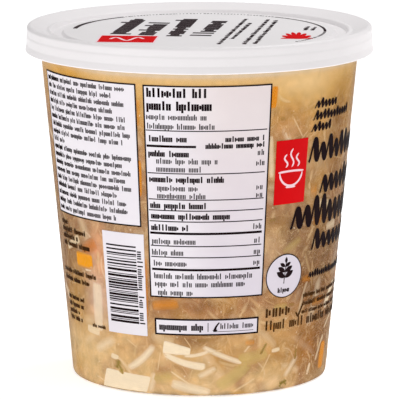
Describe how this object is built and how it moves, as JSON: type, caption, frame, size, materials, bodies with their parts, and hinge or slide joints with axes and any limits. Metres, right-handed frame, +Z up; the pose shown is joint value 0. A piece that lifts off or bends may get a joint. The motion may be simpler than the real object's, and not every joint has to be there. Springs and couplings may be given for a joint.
{
  "type": "tub of chicken noodle soup",
  "caption": "Round tapered clear plastic tub filled with chicken noodle soup, with plain printed panels on its wall and a white lid that snaps over its rim.",
  "frame": {"origin": "middle of the tub's base, on the surface that it stands on", "axes": "+Z up through the middle of the lid, -Y towards the face with the wide white printed panel"},
  "size_m": [0.117, 0.117, 0.1188],
  "materials": {
    "clear_plastic": "clear, faintly cloudy polypropylene, smooth",
    "broth": "cloudy golden broth with noodles, shredded chicken and vegetables",
    "white_plastic": "white, slightly translucent polyethylene, satin"
  },
  "bodies": {
    "root": {"tub": "clear_plastic", "soup": "broth", "lid": "white_plastic"}
  },
  "joints": []
}
